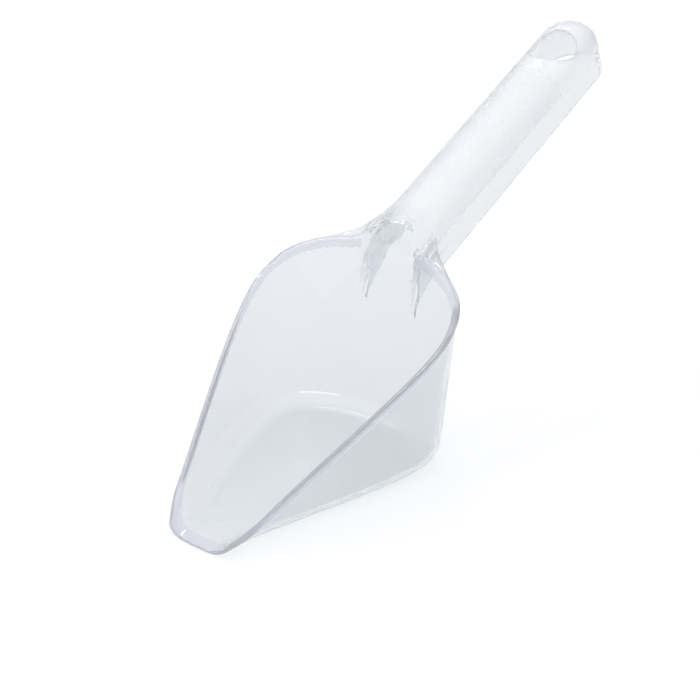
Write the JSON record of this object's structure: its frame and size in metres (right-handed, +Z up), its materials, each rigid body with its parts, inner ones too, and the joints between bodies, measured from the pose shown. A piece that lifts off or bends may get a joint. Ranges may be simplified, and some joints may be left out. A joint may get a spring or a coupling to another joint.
{
  "type": "ice scoop",
  "caption": "Clear moulded bar scoop: a flat-floored tapering bowl with a sloped rim and a hollow upswept handle with a hang hole.",
  "frame": {"origin": "on the rest face, under the middle of the scoop's overall length and width", "axes": "+Y from the front lip towards the handle tip, +Z up, X across"},
  "size_m": [0.073, 0.211, 0.1083],
  "materials": {
    "clear_plastic": "polished clear polycarbonate",
    "clear_rim": "polished clear polycarbonate, edge on",
    "frosted_plastic": "clear polycarbonate with a fine frosted grip texture"
  },
  "bodies": {
    "root": {"bowl_floor": "clear_plastic", "bowl_wall_left": "clear_plastic", "bowl_wall_right": "clear_plastic", "bowl_back_wall": "clear_plastic", "rim_left": "clear_rim", "rim_right": "clear_rim", "front_lip": "clear_rim", "root_web_left": "clear_rim", "root_web_right": "clear_rim", "gusset_left": "clear_plastic", "gusset_right": "clear_plastic", "handle_crown": "frosted_plastic", "handle_skirt_left": "clear_plastic", "handle_skirt_right": "clear_plastic", "handle_end": "clear_plastic"}
  },
  "joints": []
}
